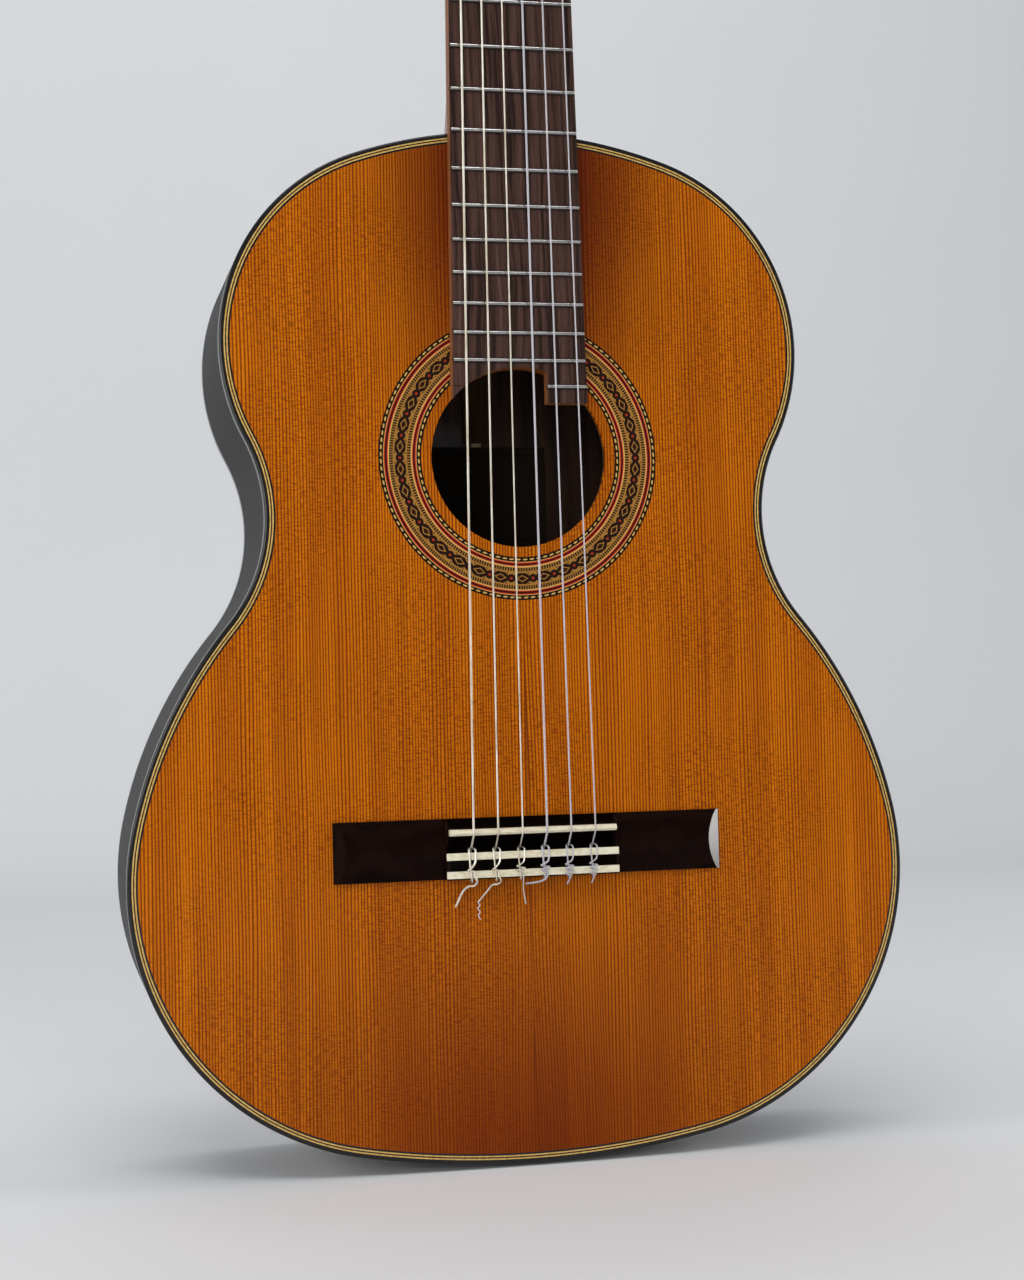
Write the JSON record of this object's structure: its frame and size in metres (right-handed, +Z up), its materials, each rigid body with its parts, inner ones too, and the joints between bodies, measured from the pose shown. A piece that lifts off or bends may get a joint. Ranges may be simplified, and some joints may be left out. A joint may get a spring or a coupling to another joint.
{
  "type": "classical guitar",
  "caption": "Classical guitar with a cedar front, mosaic rosette, tied nylon and wound strings, slotted head and geared tuners.",
  "frame": {"origin": "on the centre line where the strings leave the nut, in the plane of the soundboard's face; a hanger's yoke takes the neck there, under the head", "axes": "+Z runs up the neck to the head, -Y is the front (the soundboard's face), +X is the treble side"},
  "size_m": [0.3714, 0.1097, 0.986],
  "materials": {
    "cedar": "gloss lacquered cedar with fine straight grain",
    "rosewood": "dark rosewood, satin to gloss",
    "maple": "pale and black line strips under lacquer",
    "ebony": "black gloss binding",
    "mosaic": "inlaid wooden mosaic under gloss lacquer",
    "spruce": "raw spruce",
    "mahogany": "lacquered reddish mahogany",
    "paper": "plain aged paper",
    "nickel": "polished nickel silver",
    "bone": "polished bone",
    "nylon": "clear nylon",
    "wound": "silver-plated wire wound on nylon floss",
    "brass": "polished brass",
    "pearloid": "pearloid plastic"
  },
  "bodies": {
    "guitar": {"soundboard_bass_half": "cedar", "soundboard_treble_half": "cedar", "back_bass_half": "rosewood", "back_treble_half": "rosewood", "back_centre_strip": "maple", "rib_bass": "rosewood", "rib_treble": "rosewood", "tail_strip": "ebony", "top_binding": "ebony", "top_purfling": "maple", "back_binding": "ebony", "rosette": "mosaic", "sound_hole_patch": "spruce", "fan_braces": "spruce", "harmonic_bars": "spruce", "back_braces": "spruce", "back_seam_strip": "spruce", "linings": "spruce", "end_blocks": "mahogany", "paper_label": "paper", "neck_shaft": "mahogany", "heel": "mahogany", "heel_cap": "rosewood", "headstock": "mahogany", "head_plate": "rosewood", "fingerboard": "rosewood", "frets": "nickel", "nut": "bone", "bridge": "rosewood", "saddle": "bone", "tie_block_inlays": "bone", "nylon_strings": "nylon", "wound_strings": "wound", "tuner_plate_bass": "brass", "tuner_plate_treble": "brass", "tuner_plate_screws": "brass"},
    "worm_body_1": {"worm_1": "brass", "button_1": "pearloid"},
    "roller_body_1": {"roller_1": "bone", "gear_1": "brass"},
    "worm_body_2": {"worm_2": "brass", "button_2": "pearloid"},
    "roller_body_2": {"roller_2": "bone", "gear_2": "brass"},
    "worm_body_3": {"worm_3": "brass", "button_3": "pearloid"},
    "roller_body_3": {"roller_3": "bone", "gear_3": "brass"},
    "worm_body_4": {"worm_4": "brass", "button_4": "pearloid"},
    "roller_body_4": {"roller_4": "bone", "gear_4": "brass"},
    "worm_body_5": {"worm_5": "brass", "button_5": "pearloid"},
    "roller_body_5": {"roller_5": "bone", "gear_5": "brass"},
    "worm_body_6": {"worm_6": "brass", "button_6": "pearloid"},
    "roller_body_6": {"roller_6": "bone", "gear_6": "brass"}
  },
  "joints": [
    {"name": "tuner_1_worm", "type": "hinge", "parent": "guitar", "child": "worm_body_1", "pos_m": [0.0408, 0.01304, 0.02591], "axis": [0, 0.9744, -0.225], "continuous": true},
    {"name": "tuner_1_roller", "type": "hinge", "parent": "guitar", "child": "roller_body_1", "pos_m": [0.02, 0.01454, 0.03243], "axis": [1, 0, 0], "continuous": true},
    {"name": "tuner_2_worm", "type": "hinge", "parent": "guitar", "child": "worm_body_2", "pos_m": [0.0408, 0.02091, 0.06002], "axis": [0, 0.9744, -0.225], "continuous": true},
    {"name": "tuner_2_roller", "type": "hinge", "parent": "guitar", "child": "roller_body_2", "pos_m": [0.02, 0.02242, 0.06653], "axis": [1, 0, 0], "continuous": true},
    {"name": "tuner_3_worm", "type": "hinge", "parent": "guitar", "child": "worm_body_3", "pos_m": [0.0408, 0.02879, 0.09412], "axis": [0, 0.9744, -0.225], "continuous": true},
    {"name": "tuner_3_roller", "type": "hinge", "parent": "guitar", "child": "roller_body_3", "pos_m": [0.02, 0.03029, 0.10064], "axis": [1, 0, 0], "continuous": true},
    {"name": "tuner_4_worm", "type": "hinge", "parent": "guitar", "child": "worm_body_4", "pos_m": [-0.0408, 0.02879, 0.09412], "axis": [0, 0.9744, -0.225], "continuous": true},
    {"name": "tuner_4_roller", "type": "hinge", "parent": "guitar", "child": "roller_body_4", "pos_m": [-0.02, 0.03029, 0.10064], "axis": [1, 0, 0], "continuous": true},
    {"name": "tuner_5_worm", "type": "hinge", "parent": "guitar", "child": "worm_body_5", "pos_m": [-0.0408, 0.02091, 0.06002], "axis": [0, 0.9744, -0.225], "continuous": true},
    {"name": "tuner_5_roller", "type": "hinge", "parent": "guitar", "child": "roller_body_5", "pos_m": [-0.02, 0.02242, 0.06653], "axis": [1, 0, 0], "continuous": true},
    {"name": "tuner_6_worm", "type": "hinge", "parent": "guitar", "child": "worm_body_6", "pos_m": [-0.0408, 0.01304, 0.02591], "axis": [0, 0.9744, -0.225], "continuous": true},
    {"name": "tuner_6_roller", "type": "hinge", "parent": "guitar", "child": "roller_body_6", "pos_m": [-0.02, 0.01454, 0.03243], "axis": [1, 0, 0], "continuous": true}
  ],
  "couplings": [
    {"joint": "tuner_1_roller", "follows": "tuner_1_worm", "ratio": 0.071429},
    {"joint": "tuner_2_roller", "follows": "tuner_2_worm", "ratio": 0.071429},
    {"joint": "tuner_3_roller", "follows": "tuner_3_worm", "ratio": 0.071429},
    {"joint": "tuner_4_roller", "follows": "tuner_4_worm", "ratio": -0.071429},
    {"joint": "tuner_5_roller", "follows": "tuner_5_worm", "ratio": -0.071429},
    {"joint": "tuner_6_roller", "follows": "tuner_6_worm", "ratio": -0.071429}
  ]
}
